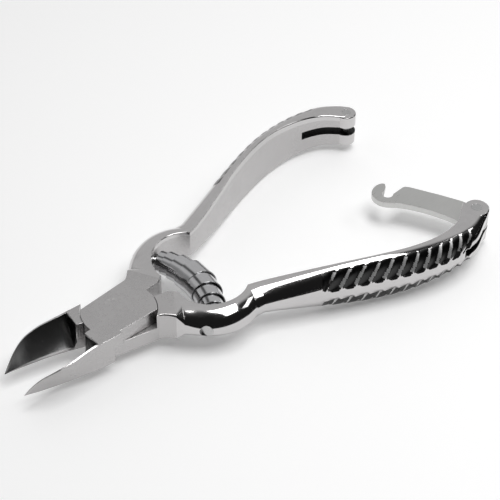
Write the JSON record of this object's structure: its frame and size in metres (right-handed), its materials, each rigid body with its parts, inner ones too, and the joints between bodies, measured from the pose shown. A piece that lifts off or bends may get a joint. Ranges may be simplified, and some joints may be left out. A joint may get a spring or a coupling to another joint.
{
  "type": "nail clipper",
  "caption": "Plier-type toenail nipper: crossed forged arms in a lap joint, hollow jaws, barrel spring between the handle roots and a lock hook at the handle ends.",
  "frame": {"origin": "on the pivot axis, in the flat back face of the joint", "axes": "+X along the middle line from the pivot towards the handles, +Y towards the upper handle, +Z along the pivot axis out of the plate that faces the user"},
  "size_m": [0.1357, 0.073, 0.0148],
  "materials": {
    "forged_steel": "polished stainless steel with fine grinding marks",
    "spring_steel": "bright rolled spring strip",
    "hook_steel": "satin stainless plate with worn edges",
    "pin_steel": "ground pin ends"
  },
  "bodies": {
    "lower_arm": {"lower_arm": "forged_steel", "pivot_pin": "pin_steel", "barrel_spring": "spring_steel", "lower_spring_stud": "pin_steel", "hook_rivet": "pin_steel"},
    "upper_arm": {"upper_arm": "forged_steel", "upper_spring_stud": "pin_steel", "catch_pin": "pin_steel"},
    "lock_hook": {"lock_hook": "hook_steel"}
  },
  "joints": [
    {"name": "arm_pivot", "type": "hinge", "parent": "lower_arm", "child": "upper_arm", "pos_m": [0, 0, 0.0044], "axis": [0, 0, 1], "range_deg": [-16, 3], "stiffness_Nm_per_rad": 3, "deforming": ["barrel_spring"]},
    {"name": "hook_swing", "type": "hinge", "parent": "lower_arm", "child": "lock_hook", "pos_m": [0.09993, -0.02758, 0.0044], "axis": [0, 0, 1], "range_deg": [-33, 50]}
  ]
}
